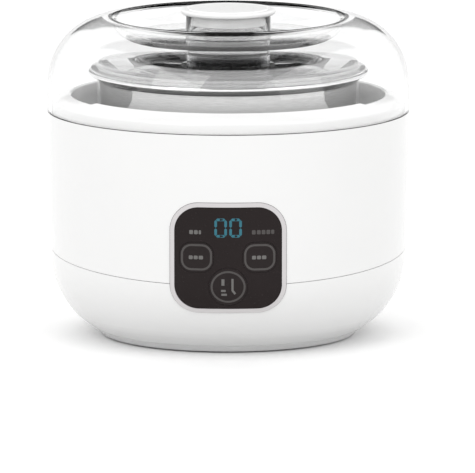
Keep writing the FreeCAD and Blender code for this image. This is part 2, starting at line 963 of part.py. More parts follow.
# ------------------------------------------------------------- power board
board = padded(
    "PowerBoard",
    "XY_Plane",
    lambda sk: round_rect(sk, "0.0001", "pb_yc", "pb_x", "pb_y", "2"),
    "pcb_t",
    "pb_z",
)
cut_holes(
    board,
    "XY_Plane",
    lambda sk: [ring(sk, x, y, "1.5") for x, y in POSTS],
    "20",
    "pb_z-5",
)
keep("power_board", board)
board_screw = turned(
    "BoardScrew",
    [
        ("0", "pb_z-4"),
        ("1.1", "pb_z-4"),
        ("1.1", "pb_z+pcb_t"),
        ("2.2", "pb_z+pcb_t"),
        ("2.2", "pb_z+pcb_t+1.5"),
        ("0", "pb_z+pcb_t+1.5"),
    ],
)
keep("board_screws", copies("BoardScrews", board_screw, POSTS))
TOPB = "pb_z+pcb_t"
transformer = padded(
    "Transformer",
    "XY_Plane",
    lambda sk: round_rect(sk, "-12", "22", "15", "14", "1"),
    "12.5",
    TOPB,
)
keep("board_transformer", transformer)
relay = padded(
    "Relay",
    "XY_Plane",
    lambda sk: round_rect(sk, "14", "24", "10", "15.5", "0.8"),
    "11.5",
    TOPB,
)
keep("board_relay", relay)
caps = padded(
    "Capacitors",
    "XY_Plane",
    lambda sk: [
        ring(sk, "2", "31", "3.2"),
        ring(sk, "2", "22", "3.2"),
        ring(sk, "-12", "8", "2.6"),
    ],
    "10",
    TOPB,
)
keep("board_capacitors", caps)
terminals = padded(
    "Terminals",
    "XY_Plane",
    lambda sk: [
        round_rect(sk, "0.0001", "37.5", "12", "6", "0.6"),
        round_rect(sk, "12", "8", "10", "6", "0.6"),
        round_rect(sk, "-1", "3", "10", "4.5", "0.6"),
    ],
    "7",
    TOPB,
)
keep("board_terminals", terminals)

# ------------------------------------------------------------------- inlet
inlet_flange = padded(
    "InletFlange",
    "XZ_Plane",
    lambda sk: round_rect(sk, "0.0001", "inl_z", "25", "16", "2.2"),
    "inl_fl_t",
    "-inl_out",
)
inlet_body = primitive(
    "Box",
    "InletBody",
    {"Length": "22", "Width": "17-inl_fl_t", "Height": "13"},
    ("-11", "inl_out-17", "inl_z-6.5"),
)
inlet_whole = boolean("MultiFuse", "InletWhole", inlet_flange, inlet_body)
inlet_well = padded(
    "InletWell",
    "XZ_Plane",
    lambda sk: round_rect(sk, "0.0001", "inl_z", "15.2", "7.6", "3.75"),
    "14",
    "-inl_out-1",
)
inlet = cut("Inlet", inlet_whole, inlet_well)
keep("power_inlet", inlet)
pins = padded(
    "InletPins",
    "XZ_Plane",
    lambda sk: [
        ring(sk, "inl_pin_sp/2", "inl_z", "inl_pin_r"),
        ring(sk, "-inl_pin_sp/2", "inl_z", "inl_pin_r"),
    ],
    "9",
    "-inl_out+4",
)
keep("inlet_pins", pins)

# ------------------------------------------------------------------- panel
bezel_pad = padded(
    "BezelPad",
    "XZ_Plane",
    lambda sk: [
        round_rect(sk, "0.0001", "pan_z", "bez_wx", "bez_wz", "bez_r"),
        round_rect(
            sk, "0.0001", "pan_z", "bez_wx-2*bez_t", "bez_wz-2*bez_t", "bez_r-bez_t"
        ),
    ],
    "45",
    "60",
)
bezel = boolean(
    "MultiCommon", "Bezel", bezel_pad, skin("BezelSkin", "-bez_in", "bez_out", "95")
)
keep("panel_bezel", bezel)
LG = "0.05"
lens_pad = padded(
    "LensPad",
    "XZ_Plane",
    lambda sk: [
        round_rect(
            sk,
            "0.0001",
            "pan_z",
            "bez_wx-2*bez_t-2*" + LG,
            "bez_wz-2*bez_t-2*" + LG,
            "bez_r-bez_t-" + LG,
        ),
        round_rect(
            sk, "key_x", "key_z", "key_wx+2*fit_gap", "key_wz+2*fit_gap", "key_cr+fit_gap"
        ),
        round_rect(
            sk, "-key_x", "key_z", "key_wx+2*fit_gap", "key_wz+2*fit_gap", "key_cr+fit_gap"
        ),
        ring(sk, "0", "pkey_z", "pkey_r+fit_gap"),
    ],
    "45",
    "60",
)
lens = boolean(
    "MultiCommon", "Lens", lens_pad, skin("LensSkin", "-lens_in", "lens_out", "95")
)
keep("panel_lens", lens)
carrier_pad = padded(
    "CarrierPad",
    "XZ_Plane",
    lambda sk: [
        round_rect(sk, "0.0001", "pan_z", "bez_wx+3", "bez_wz+3", "bez_r+1.5"),
        round_rect(sk, "key_x", "key_z", "key_wx+3", "key_wz+3", "key_cr+1.5"),
        round_rect(sk, "-key_x", "key_z", "key_wx+3", "key_wz+3", "key_cr+1.5"),
        ring(sk, "0", "pkey_z-2.0", "pkey_r+1.0"),
        round_rect(sk, "0.0001", "dig_z", "19", "14.5", "1"),
    ],
    "45",
    "60",
)
carrier_shell = boolean(
    "MultiCommon",
    "CarrierShell",
    carrier_pad,
    skin("CarrierSkin", "-bez_in-1.8", "-bez_in", "95"),
)
PX = ("20", "-20")
top_posts = padded(
    "TopPosts",
    "XZ_Plane",
    lambda sk: [ring(sk, x, "73", "1.9") for x in PX],
    "5.4",
    "pcb_y",
)
low_posts = padded(
    "LowPosts",
    "XZ_Plane",
    lambda sk: [ring(sk, x, "34", "1.9") for x in PX],
    "3.2",
    "pcb_y",
)
post_holes = padded(
    "PostHoles",
    "XZ_Plane",
    lambda sk: [ring(sk, x, z, "0.95") for x in PX for z in ("73", "34")],
    "3",
    "pcb_y-1",
)
carrier = cut(
    "Carrier",
    boolean("MultiFuse", "CarrierWhole", carrier_shell, top_posts, low_posts),
    post_holes,
)
keep("panel_carrier", carrier)

display_board = padded(
    "DisplayBoard",
    "XZ_Plane",
    lambda sk: [
        round_rect(sk, "0.0001", "53.5", "45", "45", "2"),
        *[ring(sk, x, z, "1.1") for x in PX for z in ("73", "34")],
    ],
    "pcb_t",
    "pcb_y-pcb_t",
)
keep("display_board", display_board)
pcb_screw = padded(
    "DisplayScrewShank",
    "XZ_Plane",
    lambda sk: [ring(sk, x, z, "0.9") for x in PX for z in ("73", "34")],
    "pcb_t+1.8",
    "pcb_y-pcb_t",
)
pcb_head = padded(
    "DisplayScrewHead",
    "XZ_Plane",
    lambda sk: [ring(sk, x, z, "1.8") for x in PX for z in ("73", "34")],
    "1.3",
    "pcb_y-pcb_t-1.3",
)
keep("display_screws", boolean("MultiFuse", "DisplayScrews", pcb_screw, pcb_head))
digits = padded(
    "DigitDisplay",
    "XZ_Plane",
    lambda sk: round_rect(sk, "0.0001", "dig_z", "17.5", "13", "0.6"),
    "8",
    "pcb_y",
)
keep("digit_display", digits)
switch_body = padded(
    "SwitchBody",
    "XZ_Plane",
    lambda sk: [
        round_rect(sk, x, z, "6", "6", "0.5")
        for x, z in (("key_x", "key_z"), ("-key_x", "key_z"), ("0.0001", "pkey_z"))
    ],
    "3.3",
    "pcb_y",
)
switch_top = padded(
    "SwitchTop",
    "XZ_Plane",
    lambda sk: [
        ring(sk, x, z, "1.6")
        for x, z in (("key_x", "key_z"), ("-key_x", "key_z"), ("0", "pkey_z"))
    ],
    "4.3",
    "pcb_y",
)
keep("key_switches", boolean("MultiFuse", "KeySwitches", switch_body, switch_top))

# ------------------------------------------------------------------ keys
cap_skin = skin("CapSkin", "-1.9", "0.55", "95")
flange_skin = skin("FlangeSkin", "-2.9", "-1.9", "95")


def key(node, name, cap_draw, flange_draw, x, z, front):
    cap = boolean(
        "MultiCommon",
        name + "Cap",
        padded(name + "CapPad", "XZ_Plane", cap_draw, "45", "60"),
        cap_skin,
    )
    flange = boolean(
        "MultiCommon",
        name + "Flange",
        padded(name + "FlangePad", "XZ_Plane", flange_draw, "45", "60"),
        flange_skin,
    )
    stem = padded(
        name + "Stem",
        "XZ_Plane",
        lambda sk: round_rect(sk, x, z, "4", "4", "0.6"),
        front,
        "pcb_y+4.3+0.9",
    )
    keep(node, boolean("MultiFuse", name, cap, flange, stem))


for node, name, x in (("menu_key", "MenuKey", "-key_x"), ("timer_key", "TimerKey", "key_x")):
    key(
        node,
        name,
        lambda sk, x=x: round_rect(sk, x, "key_z", "key_wx", "key_wz", "key_cr"),
        lambda sk, x=x: round_rect(sk, x, "key_z", "key_wx+1.4", "key_wz+1.4", "key_cr+0.7"),
        x,
        "key_z",
        "3.7",
    )
key(
    "power_key",
    "PowerKey",
    lambda sk: ring(sk, "0", "pkey_z", "pkey_r"),
    lambda sk: ring(sk, "0", "pkey_z", "pkey_r+0.7"),
    "0.0001",
    "pkey_z",
    "4.0",
)

# --------------------------------------------------------------------- pot
pot = turned(
    "Pot",
    [
        ("0", "cham_z"),
        ("pot_bot_r", "cham_z"),
        ("pot_r", "rim_z-rim_t-7"),
        ("pot_r+0.6", "rim_z-rim_t-2.8"),
        ("rim_r-1.4", "rim_z-rim_t"),
        ("rim_r", "rim_z-rim_t"),
        ("rim_r", "rim_z"),
        ("pot_r", "rim_z"),
        ("pot_r-pot_t+0.3", "rim_z-4.6"),
        ("pot_r-pot_t", "rim_z-rim_t-7"),
        ("pot_bot_r-pot_t+0.15", "cham_z+pot_floor_t"),
        ("0", "cham_z+pot_floor_t"),
    ],
    [
        ("12", [("pot_bot_r", "cham_z")]),
        ("9.6", [("pot_bot_r-pot_t+0.15", "cham_z+pot_floor_t")]),
        ("2.5", [("pot_r+0.6", "rim_z-rim_t-2.8")]),
        ("0.85", [("rim_r", "rim_z-rim_t"), ("rim_r", "rim_z")]),
        ("1.5", [("pot_r", "rim_z")]),
    ],
)
keep("pot_liner", pot)

# --------------------------------------------------------------- inner lid
inner_lid = turned(
    "InnerLid",
    [
        ("lid_sh_r-lid_t", "rim_z"),
        ("lid_r", "rim_z"),
        ("lid_r", "rim_z+lid_fl_t"),
        ("lid_sh_r", "rim_z+lid_fl_t"),
        ("lid_sh_r", "lid_sh_z"),
        ("lid_plat_r", "lid_plat_z"),
        ("lid_floor_r", "lid_floor_z"),
        ("lknob_r+2.5", "lid_floor_z"),
        ("lknob_r+2.5", "lid_floor_z+0.8"),
        ("lid_boss_r", "lid_floor_z+0.8"),
        ("lid_boss_r", "lknob_z-lknob_t"),
        ("lid_boss_r-1.5", "lknob_z-lknob_t"),
        ("lid_boss_r-1.5", "lid_floor_z-0.6"),
        ("0", "lid_floor_z-0.6"),
        ("0", "lid_floor_z-lid_t-0.4"),
        ("lid_floor_r+1.0", "lid_floor_z-lid_t-0.4"),
        ("lid_plat_r+1.4", "lid_plat_z-lid_t-0.2"),
        ("lid_skirt_r-1.5", "lid_sh_z-lid_t+0.25"),
        ("lid_skirt_r-1.5", "lid_skirt_z"),
        ("lid_skirt_r", "lid_skirt_z"),
        ("lid_skirt_r", "lid_sh_z-lid_t+0.1"),
        ("lid_sh_r-lid_t", "lid_sh_z-lid_t"),
    ],
    [
        ("2.4", [("lid_sh_r", "lid_sh_z")]),
        ("1.1", [("lid_plat_r", "lid_plat_z")]),
        ("1.4", [("lid_floor_r", "lid_floor_z")]),
        ("0.5", [("lid_r", "rim_z+lid_fl_t"), ("lid_sh_r", "rim_z+lid_fl_t")]),
        ("0.35", [("lknob_r+2.5", "lid_floor_z+0.8")]),
    ],
)
keep("inner_lid", inner_lid)
lid_knob = turned(
    "LidKnob",
    [
        ("lknob_r-lknob_t", "lid_floor_z+0.8"),
        ("lknob_r", "lid_floor_z+0.8"),
        ("lknob_r", "lknob_z"),
        ("0", "lknob_z"),
        ("0", "lknob_z-lknob_t"),
        ("lknob_r-lknob_t", "lknob_z-lknob_t"),
    ],
    [("1.0", [("lknob_r", "lknob_z")]), ("0.5", [("lknob_r-lknob_t", "lknob_z-lknob_t")])],
)
keep("inner_lid_knob", lid_knob)
gasket = turned(
    "LidGasket",
    [
        ("lid_skirt_r", "lid_skirt_z+0.5"),
        ("lid_skirt_r+0.6", "lid_skirt_z+0.5"),
        ("lid_skirt_r+0.85", "lid_skirt_z+1.1"),
        ("lid_skirt_r+0.6", "lid_skirt_z+2.6"),
        ("lid_skirt_r", "lid_skirt_z+2.6"),
    ],
)
keep("lid_gasket", gasket)

# ------------------------------------------------------------- dome cover
BX = "body_r-dome_ra+(dome_ra-dome_rb)*cos(dome_ta)"
BZ = "dome_z1+(dome_ra-dome_rb)*sin(dome_ta)"
CX = BX + "+(dome_rb-crest_r)*cos(dome_tb)"
CZ = BZ + "+(dome_rb-crest_r)*sin(dome_tb)"


def dome(d):
    e1 = (
        "%s+(crest_r+(%s))*cos(crest_t)" % (CX, d),
        "%s+(crest_r+(%s))*sin(crest_t)" % (CZ, d),
    )
    l1 = (e1[0] + "-dish_drop*sin(crest_t)", e1[1] + "+dish_drop*cos(crest_t)")
    dx = "%s+(crest_r+dish_r)*cos(crest_t)-dish_drop*sin(crest_t)" % CX
    dz = "%s+(crest_r+dish_r)*sin(crest_t)+dish_drop*cos(crest_t)" % CZ
    return {
        "j1": (
            "body_r-dome_ra+(dome_ra+(%s))*cos(dome_ta)" % d,
            "dome_z1+(dome_ra+(%s))*sin(dome_ta)" % d,
        ),
        "j2": (
            "%s+(dome_rb+(%s))*cos(dome_tb)" % (BX, d),
            "%s+(dome_rb+(%s))*sin(dome_tb)" % (BZ, d),
        ),
        "e1": e1,
        "l1": l1,
        "f": (dx, "%s-(dish_r-(%s))" % (dz, d)),
    }


p, q = dome("0"), dome("-dome_w")
FZ = p["f"][1]
dome_cover = turned(
    "DomeCover",
    [
        ("body_r-dome_w", "top_z"),
        ("body_r-edge_c", "top_z"),
        ("body_r", "top_z+edge_c"),
        ("body_r", "dome_z1", "dome_ra", CCW),
        p["j1"] + ("dome_rb", CCW),
        p["j2"] + ("crest_r", CCW),
        p["e1"],
        p["l1"] + ("dish_r", CW),
        p["f"],
        ("dboss_r", FZ),
        ("dboss_r", "dboss_z"),
        ("dboss_r-dboss_w", "dboss_z"),
        ("dboss_r-dboss_w", FZ),
        ("0", FZ),
        ("0", q["f"][1]),
        q["f"] + ("dish_r+dome_w", CCW),
        q["l1"],
        q["e1"] + ("crest_r-dome_w", CW),
        q["j2"] + ("dome_rb-dome_w", CW),
        q["j1"] + ("dome_ra-dome_w", CW),
        ("body_r-dome_w", "dome_z1"),
    ],
    [("0.8", [("dboss_r", FZ)])],
)
keep("dome_cover", dome_cover)

knob = turned(
    "DomeKnob",
    [
        ("plug_r-plug_t", "plug_z"),
        ("plug_r", "plug_z"),
        ("plug_r", "dboss_z"),
        ("knob_r", "dboss_z"),
        ("knob_r", "dboss_z+2.5"),
        ("disc_r+0.9", "dboss_z+2.7"),
        ("disc_r+0.1", "dboss_z+2.0"),
        ("disc_r+0.1", "disc_z"),
        ("0", "disc_z"),
        ("0", "disc_z-1.8"),
        ("plug_r-plug_t", "disc_z-1.8"),
    ],
    [
        ("1.1", [("knob_r", "dboss_z"), ("knob_r", "dboss_z+2.5")]),
        ("0.6", [("plug_r", "plug_z")]),
    ],
)
keep("dome_knob", knob)
disc = turned(
    "KnobDisc",
    [
        ("0", "disc_z"),
        ("disc_r", "disc_z"),
        ("disc_r", "disc_z+1.9", "260", CCW),
        ("0", "disc_z+2.7"),
    ],
    [("0.7", [("disc_r", "disc_z+1.9")])],
)
keep("knob_disc", disc)


# ------------------------------------------------------------------- wires
def wire_tube(name, rad, paths):
    """Round leads along straight runs joined by tangent arcs."""
    solids = []
    for pts in paths:
        pts = [V(*p) for p in pts]
        edges, at = [], pts[0]
        for a, b, c in zip(pts, pts[1:], pts[2:]):
            u, w = (b - a).normalize(), (c - b).normalize()
            half = u.getAngle(w) / 2
            short = min((b - a).Length, (c - b).Length)
            t = 0.45 * short
            s, e = b - u * t, b + w * t
            bis = (w - u).normalize()
            r = t / math.tan(half)
            centre = b + bis * (r / math.cos(half))
            mid = centre - bis * r
            edges.append(Part.LineSegment(at, s).toShape())
            edges.append(Part.Arc(s, mid, e).toShape())
            at = e
        edges.append(Part.LineSegment(at, pts[-1]).toShape())
        path = Part.Wire(edges)
        start = pts[0]
        prof = Part.Wire(
            [Part.Circle(start, (pts[1] - pts[0]).normalize(), rad).toShape()]
        )
        solid = path.makePipeShell([prof], True, True)
        ideal = path.Length * math.pi * rad * rad
        assert abs(solid.Volume / ideal - 1) < 0.01, (name, solid.Volume, ideal)
        solids.append(solid)
    o = doc.addObject("Part::Feature", name)
    o.Shape = Part.makeCompound(solids)
    return o


pb_top = calc("pb_z+pcb_t") + 7
clamp_z = calc("cham_z-cham_t-5.8")
keep(
    "heater_leads",
    wire_tube(
        "HeaterLeads",
        0.9,
        [
            [
                (10, 8, pb_top),
                (10, 8, pb_top + 6),
                (20, 2, pb_top + 14),
                (26, -2, clamp_z - 8),
                (26, -2, clamp_z),
            ],
            [
                (14, 8, pb_top),
                (14, 8, pb_top + 6),
                (25, 6, pb_top + 13),
                (32, 4, clamp_z - 8),
                (32, 4, clamp_z),
            ],
        ],
    ),
)
inlet_back = calc("inl_out") - 1.6 - 15.4
keep(
    "inlet_leads",
    wire_tube(
        "InletLeads",
        1.0,
        [
            [
                (x, inlet_back, 33),
                (x, inlet_back - 8, 33),
                (x * 0.9, inlet_back - 19, 29),
                (x * 0.8, 43, 27),
                (x * 0.75, 37.5, 24),
                (x * 0.75, 37.5, pb_top),
            ]
            for x in (-4.3, 4.3)
        ],
    ),
)
keep(
    "display_cable",
    wire_tube(
        "DisplayCable",
        0.7,
        [
            [
                (x, -(79.0 - 1.6), 36),
                (x, -70, 36),
                (x, -60, 30),
                (x, -40, 24),
                (x, -18, 22),
                (x - 1.0, 0, 23.5),
                (x - 1.0, 3, pb_top + 3),
                (x - 1.0, 3, pb_top),
            ]
            for x in (-2.4, 0.0, 2.4)
        ],
    ),
)
keep(
    "sensor_lead",
    wire_tube(
        "SensorLead",
        0.8,
        [
            [
                (0, 0, calc("cham_z-cham_t-9")),
                (0, 0, 36),
                (-3, 4, 30),
                (-8, 8, 27),
                (-12, 8, 26),
                (-12, 8, calc("pb_z+pcb_t") + 10),
            ]
        ],
    ),
)

# ------------------------------------------------------------ check and write
doc.recompute()
for o in doc.Objects:
    if "Invalid" in o.State or "Error" in o.State:
        raise RuntimeError("%s failed: %s" % (o.Name, o.State))
os.makedirs("parts", exist_ok=True)
for f in os.listdir("parts"):
    if f.endswith(".step"):
        os.remove(os.path.join("parts", f))
for node, o in parts.items():
    s = o.Shape
    assert not s.isNull() and s.isValid() and s.Volume > 0, node
    s.exportStep("parts/%s.step" % node)
print("wrote", len(parts), "parts")
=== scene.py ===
"""Studio scene for the countertop yogurt maker, in metres, +Z up, front towards -Y."""

import math

import bmesh
import bpy
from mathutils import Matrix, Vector
from mathutils.bvhtree import BVHTree


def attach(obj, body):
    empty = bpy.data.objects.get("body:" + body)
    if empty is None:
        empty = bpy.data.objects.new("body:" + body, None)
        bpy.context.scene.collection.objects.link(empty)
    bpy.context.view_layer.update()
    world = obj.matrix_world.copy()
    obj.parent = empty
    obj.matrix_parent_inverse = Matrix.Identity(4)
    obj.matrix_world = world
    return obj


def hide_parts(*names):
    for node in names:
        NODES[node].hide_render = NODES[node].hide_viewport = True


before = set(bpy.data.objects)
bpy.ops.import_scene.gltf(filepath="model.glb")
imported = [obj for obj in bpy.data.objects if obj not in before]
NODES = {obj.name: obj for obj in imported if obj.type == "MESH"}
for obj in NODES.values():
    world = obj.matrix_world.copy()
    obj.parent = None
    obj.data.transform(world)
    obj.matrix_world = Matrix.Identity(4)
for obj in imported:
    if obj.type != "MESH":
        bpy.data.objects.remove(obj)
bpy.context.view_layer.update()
MM = 0.001


# ---------------------------------------------------------------- materials
def rgba(c, a=1.0):
    return (c[0], c[1], c[2], a)


class Mat:
    """A node material under construction."""

    def __init__(self, name):
        self.m = bpy.data.materials.new(name)
        self.m.use_nodes = True
        self.n = self.m.node_tree.nodes
        self.l = self.m.node_tree.links
        self.n.clear()
        self.out = self.n.new("ShaderNodeOutputMaterial")
        self.b = self.n.new("ShaderNodeBsdfPrincipled")
        self.l.new(self.b.outputs[0], self.out.inputs["Surface"])
        tc = self.n.new("ShaderNodeTexCoord")
        self.pos = tc.outputs["Object"]

    def set(self, **values):
        for key, value in values.items():
            self.b.inputs[key.replace("_", " ")].default_value = value
        return self

    def noise(self, scale, detail=3.0, rough=0.5, stretch=None):
        t = self.n.new("ShaderNodeTexNoise")
        t.inputs["Scale"].default_value = scale
        t.inputs["Detail"].default_value = detail
        t.inputs["Roughness"].default_value = rough
        src = self.pos
        if stretch is not None:
            mp = self.n.new("ShaderNodeMapping")
            mp.inputs["Scale"].default_value = stretch
            self.l.new(self.pos, mp.inputs["Vector"])
            src = mp.outputs[0]
        self.l.new(src, t.inputs["Vector"])
        return t.outputs["Fac"]

    def span(self, fac, lo, hi, a=0.3, b=0.7):
        r = self.n.new("ShaderNodeMapRange")
        r.inputs["From Min"].default_value = a
        r.inputs["From Max"].default_value = b
        r.inputs["To Min"].default_value = lo
        r.inputs["To Max"].default_value = hi
        self.l.new(fac, r.inputs["Value"])
        return r.outputs[0]

    def mix(self, fac, c1, c2):
        x = self.n.new("ShaderNodeMix")
        x.data_type = "RGBA"
        if isinstance(fac, float):
            x.inputs[0].default_value = fac
        else:
            self.l.new(fac, x.inputs[0])
        for sock, c in ((6, c1), (7, c2)):
            if isinstance(c, tuple):
                x.inputs[sock].default_value = rgba(c)
            else:
                self.l.new(c, x.inputs[sock])
        return x.outputs[2]

    def to(self, sock, out):
        self.l.new(out, self.b.inputs[sock])
        return self

    def bump(self, fac, distance, strength=1.0):
        b = self.n.new("ShaderNodeBump")
        b.inputs["Strength"].default_value = strength
        b.inputs["Distance"].default_value = distance
        self.l.new(fac, b.inputs["Height"])
        self.l.new(b.outputs[0], self.b.inputs["Normal"])
        return self


def plastic(
    name, colour, rough, spread=0.04, shade=0.02, bump=0.00002, grain=900.0, **more
):
    """Moulded plastic: faint mottling, uneven gloss and a fine skin."""
    m = Mat(name)
    broad = m.noise(28.0, 4.0)
    fine = m.noise(grain, 3.0)
    dark = tuple(max(0.0, c * (1 - shade)) for c in colour)
    m.to("Base Color", m.mix(m.span(broad, 0.0, 1.0), dark, colour))
    m.to("Roughness", m.span(fine, max(0.0, rough - spread), rough + spread))
    m.bump(fine, bump, 0.6)
    m.set(**more)
    return m.m


def ring_mask(m, r0, r1):
    """0 inside radius r0, 1 outside radius r1, from the object's own axis."""
    flat = m.n.new("ShaderNodeVectorMath")
    flat.operation = "MULTIPLY"
    flat.inputs[1].default_value = (1, 1, 0)
    m.l.new(m.pos, flat.inputs[0])
    size = m.n.new("ShaderNodeVectorMath")
    size.operation = "LENGTH"
    m.l.new(flat.outputs[0], size.inputs[0])
    return m.span(size.outputs["Value"], 0.0, 1.0, r0, r1)


def clear(name, tint, ior=1.5, rough=0.0, scatter=0.0, shade=0.99, shine=0.5, painted_dark_zone=None):
    """Clear moulded plastic that lets lamp light straight through. A zone, if given, tints the middle near black and
    glossless as painted shade and hazes the rest.
    """
    m = Mat(name)
    wave = m.noise(16.0, 2.0)
    fine = m.noise(500.0, 2.0)
    m.set(IOR=ior, Transmission_Weight=1.0 - scatter, Specular_IOR_Level=shine)
    colour = m.mix(m.span(wave, 0.0, 1.0), tint, tuple(min(1, c * 1.01) for c in tint))
    if painted_dark_zone is not None:
        # Painted shade: inside radius r0 the tint is near black and the gloss is taken away, standing in for the dark
        # pot below.
        r0, r1, painted_dark_tint, haze = painted_dark_zone
        outside = ring_mask(m, r0, r1)
        colour = m.mix(outside, painted_dark_tint, colour)
        m.to("Transmission Weight", m.span(outside, 1.0, 1.0 - haze, 0.0, 1.0))
        m.to("Specular IOR Level", m.span(outside, 0.02, shine, 0.0, 1.0))
    m.to("Base Color", colour)
    m.to("Roughness", m.span(fine, rough, rough + 0.004))
    path = m.n.new("ShaderNodeLightPath")
    through = m.n.new("ShaderNodeBsdfTransparent")
    through.inputs[0].default_value = rgba((shade, shade, shade))
    either = m.n.new("ShaderNodeMath")
    either.operation = "MAXIMUM"
    m.l.new(path.outputs["Is Shadow Ray"], either.inputs[0])
    m.l.new(path.outputs["Is Diffuse Ray"], either.inputs[1])
    mixer = m.n.new("ShaderNodeMixShader")
    m.l.new(either.outputs[0], mixer.inputs[0])
    m.l.new(m.b.outputs[0], mixer.inputs[1])
    m.l.new(through.outputs[0], mixer.inputs[2])
    m.l.new(mixer.outputs[0], m.out.inputs["Surface"])
    return m.m


def metal(name, colour, rough, brushed=None, spread=0.08, bump=0.00001):
    m = Mat(name)
    n = m.noise(220.0, 4.0, 0.6, brushed)
    m.to("Base Color", m.mix(m.span(n, 0.0, 1.0), tuple(c * 0.85 for c in colour), colour))
    m.to("Roughness", m.span(n, max(0.05, rough - spread), rough + spread))
    m.bump(n, bump, 0.5)
    m.set(Metallic=1.0)
    return m.m


WHITE = plastic(
    "white_shell", (0.90, 0.90, 0.895), 0.22, 0.03, 0.008, 0.000012, Coat_Weight=0.25, Coat_Roughness=0.08
)
COLLAR = plastic(
    "white_collar", (0.90, 0.90, 0.895), 0.2, 0.03, 0.008, 0.000012, Coat_Weight=0.4, Coat_Roughness=0.05
)


def paint_gap_shade(material, z0, z1, depth):
    """Painted shade on a polished wall: its colour darkens towards the gap it stands in, for the shaded gap it
    reflects.
    """
    m = Mat.__new__(Mat)
    m.m, m.n, m.l = material, material.node_tree.nodes, material.node_tree.links
    m.b = next(x for x in m.n if x.type == "BSDF_PRINCIPLED")
    m.pos = next(x for x in m.n if x.type == "TEX_COORD").outputs["Object"]
    split = m.n.new("ShaderNodeSeparateXYZ")
    m.l.new(m.pos, split.inputs[0])
    skin = m.b.inputs["Base Color"].links[0].from_socket
    # Painted shade: the colour is mixed towards dark grey below z1.
    painted_shade = m.span(split.outputs["Z"], depth, 0.0, z0, z1)
    m.to("Base Color", m.mix(painted_shade, skin, (0.2, 0.2, 0.2)))
KNOB = plastic("white_knob", (0.93, 0.93, 0.925), 0.3, 0.03, 0.004, 0.000004)
CERAMIC = plastic(
    "glazed_ceramic", (0.88, 0.88, 0.87), 0.16, 0.03, 0.012, 0.00003, 60.0, Coat_Weight=1.0, Coat_Roughness=0.03
)
DOME = clear("clear_dome", (0.995, 0.997, 0.998), 1.5, shine=0.3)
# The lid's middle is painted near black, painted shade for the dark pot inside seen through it.
LID = clear("clear_lid", (0.985, 0.986, 0.987), 1.5, shade=0.97, shine=0.2, painted_dark_zone=(0.0455, 0.049, (0.01, 0.01, 0.01), 0.2))
LID_KNOB = clear("clear_lid_knob", (0.66, 0.661, 0.665), 1.5, shade=0.97, shine=0.3)
POT = metal("polished_steel", (0.94, 0.94, 0.94), 0.06, (1.0, 1.0, 14.0), 0.02, 0.000001)
# Painted shade: the pot's colour darkens below its top few millimetres, for the dark gap round it.
paint_gap_shade(POT, 0.1205, 0.1285, 0.45)
# Darker steel for the pot's inside: partly satin finish, partly painted shade for the dim inside.
POT_INSIDE_PAINTED_SHADE = metal("satin_steel_painted_shade", (0.5, 0.5, 0.505), 0.14, (1.0, 1.0, 14.0), 0.04, 0.000003)
SILICONE = plastic("silicone", (0.82, 0.82, 0.80), 0.5, 0.05, 0.03, 0.00004)
BASE = plastic("grey_base", (0.84, 0.84, 0.84), 0.42, 0.06, 0.04, 0.00005, 1400.0)
FOOT = plastic("foot_rubber", (0.07, 0.07, 0.072), 0.7, 0.08, 0.1, 0.00008)
BEZEL = plastic("bezel", (0.66, 0.635, 0.64), 0.2, 0.03, 0.01, 0.00001, Coat_Weight=0.3, Coat_Roughness=0.06)
PANEL = plastic("panel_face", (0.018, 0.0125, 0.0125), 0.24, 0.04, 0.15, 0.000006, Specular_IOR_Level=0.14)
KEYS = plastic("key_face", (0.021, 0.0155, 0.0155), 0.34, 0.05, 0.12, 0.00001, 1500.0, Specular_IOR_Level=0.14)
INK = plastic("printed_ink", (0.085, 0.078, 0.076), 0.5, 0.06, 0.1, 0.00001, 2000.0, Specular_IOR_Level=0.2)
INK_PALE = plastic("printed_ink_pale", (0.17, 0.165, 0.16), 0.5, 0.06, 0.1, 0.00001, 2000.0, Specular_IOR_Level=0.2)
# Near-black grey for the dome's seam ring: painted shade for the gap, not a seal.
PAINTED_SEAM_SHADE = plastic("painted_seam_shade", (0.05, 0.05, 0.05), 0.6, 0.05, 0.1, 0.00002)
BLACK = plastic("moulded_black", (0.02, 0.02, 0.021), 0.45, 0.08, 0.2, 0.00006)
PCB = plastic("solder_mask", (0.02, 0.12, 0.05), 0.3, 0.08, 0.2, 0.00003)
MICA = plastic("mica", (0.55, 0.48, 0.33), 0.5, 0.1, 0.25, 0.00008, 200.0)
BLUE = plastic("relay_case", (0.02, 0.06, 0.25), 0.35)
SLEEVE = plastic("sleeve", (0.03, 0.03, 0.05), 0.3)
NYLON = plastic("nylon", (0.75, 0.73, 0.68), 0.45)
FIBRE = plastic("fibre_sleeve", (0.7, 0.66, 0.52), 0.6, 0.1, 0.15, 0.0001, 300.0)
LEAD_W = plastic("lead_white", (0.78, 0.76, 0.72), 0.4)
LEAD_B = plastic("lead_brown", (0.12, 0.05, 0.025), 0.35)
LEAD_G = plastic("cable_grey", (0.35, 0.35, 0.36), 0.45)
MODULE = plastic("display_face", (0.01, 0.018, 0.02), 0.2)
ALU = metal("spun_aluminium", (0.78, 0.79, 0.80), 0.3, (1.0, 1.0, 14.0))
# Near-black chamber: partly a dark coat, partly painted shade to darken the gap round the pot.
CHAMBER = plastic("chamber_coat_and_painted_shade", (0.035, 0.035, 0.036), 0.5, 0.06, 0.2, 0.00003, 700.0)
CAST = metal("cast_aluminium", (0.62, 0.62, 0.63), 0.45)
STEEL = metal("zinc_steel", (0.66, 0.67, 0.69), 0.32)
BRASS = metal("plated_brass", (0.72, 0.66, 0.5), 0.25)

